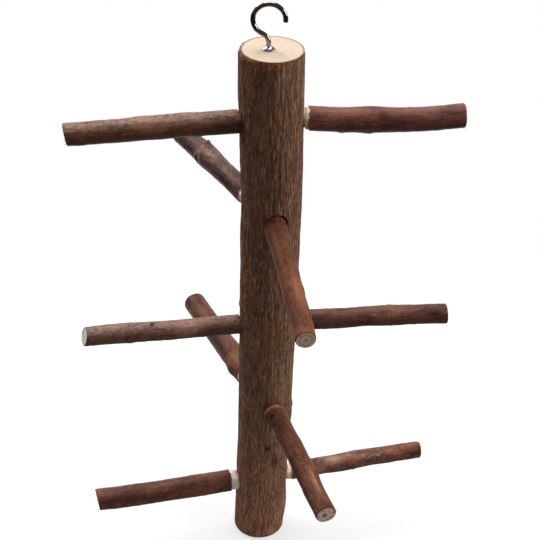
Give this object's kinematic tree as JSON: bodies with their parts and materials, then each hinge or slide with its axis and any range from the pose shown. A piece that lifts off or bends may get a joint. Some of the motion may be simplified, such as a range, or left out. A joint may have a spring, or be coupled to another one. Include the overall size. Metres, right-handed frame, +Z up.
{
  "type": "parrot climbing frame",
  "caption": "Bark-covered log with a screw hook on top and sawn twig perches pegged into it in pairs up its height, for a pet bird to climb; it stands or hangs.",
  "frame": {"origin": "middle of the log's lower sawn end, on the surface that the frame stands on", "axes": "+Z up along the log; +X to the right and -Y towards the viewer of the picture"},
  "size_m": [0.2533, 0.2576, 0.4298],
  "materials": {
    "trunk_bark": "rough bark",
    "perch_bark": "young bark",
    "hook_steel": "bright plated"
  },
  "bodies": {
    "trunk": {"trunk": "trunk_bark"},
    "hook_collar": {"hook_collar": "hook_steel"},
    "hook": {"hook": "hook_steel"},
    "top_left_perch": {"top_left_perch": "perch_bark"},
    "top_right_perch": {"top_right_perch": "perch_bark"},
    "upper_back_perch": {"upper_back_perch": "perch_bark"},
    "upper_front_perch": {"upper_front_perch": "perch_bark"},
    "middle_left_perch": {"middle_left_perch": "perch_bark"},
    "middle_right_perch": {"middle_right_perch": "perch_bark"},
    "lower_back_perch": {"lower_back_perch": "perch_bark"},
    "lower_front_perch": {"lower_front_perch": "perch_bark"},
    "bottom_left_perch": {"bottom_left_perch": "perch_bark"},
    "bottom_right_perch": {"bottom_right_perch": "perch_bark"}
  },
  "joints": [
    {"name": "collar_lift", "type": "slide", "parent": "trunk", "child": "hook_collar", "axis": [0, 0, 1], "range_m": [0, 0.0014]},
    {"name": "hook_turn", "type": "hinge", "parent": "hook_collar", "child": "hook", "pos_m": [-0.0024, 0, 0.4], "axis": [0, 0, 1], "range_deg": [0, 360]},
    {"name": "top_left_pull", "type": "slide", "parent": "trunk", "child": "top_left_perch", "axis": [-0.9744, -0.225, 0], "range_m": [0, 0.0145]},
    {"name": "top_right_pull", "type": "slide", "parent": "trunk", "child": "top_right_perch", "axis": [0.9945, 0.1045, 0], "range_m": [0, 0.0145]},
    {"name": "upper_back_pull", "type": "slide", "parent": "trunk", "child": "upper_back_perch", "axis": [-0.515, 0.8572, 0], "range_m": [0, 0.0145]},
    {"name": "upper_front_pull", "type": "slide", "parent": "trunk", "child": "upper_front_perch", "axis": [0.1616, -0.9869, 0], "range_m": [0, 0.0145]},
    {"name": "middle_left_pull", "type": "slide", "parent": "trunk", "child": "middle_left_perch", "axis": [-0.9848, -0.1736, 0], "range_m": [0, 0.0145]},
    {"name": "middle_right_pull", "type": "slide", "parent": "trunk", "child": "middle_right_perch", "axis": [0.9903, 0.1392, 0], "range_m": [0, 0.0145]},
    {"name": "lower_back_pull", "type": "slide", "parent": "trunk", "child": "lower_back_perch", "axis": [-0.454, 0.891, 0], "range_m": [0, 0.0145]},
    {"name": "lower_front_pull", "type": "slide", "parent": "trunk", "child": "lower_front_perch", "axis": [0.3322, -0.9432, 0], "range_m": [0, 0.0145]},
    {"name": "bottom_left_pull", "type": "slide", "parent": "trunk", "child": "bottom_left_perch", "axis": [-0.9703, -0.2419, 0], "range_m": [0, 0.0145]},
    {"name": "bottom_right_pull", "type": "slide", "parent": "trunk", "child": "bottom_right_perch", "axis": [0.9613, 0.2756, 0], "range_m": [0, 0.0145]}
  ],
  "couplings": [
    {"joint": "hook_turn", "follows": "collar_lift", "rad_per_m": 4488}
  ]
}
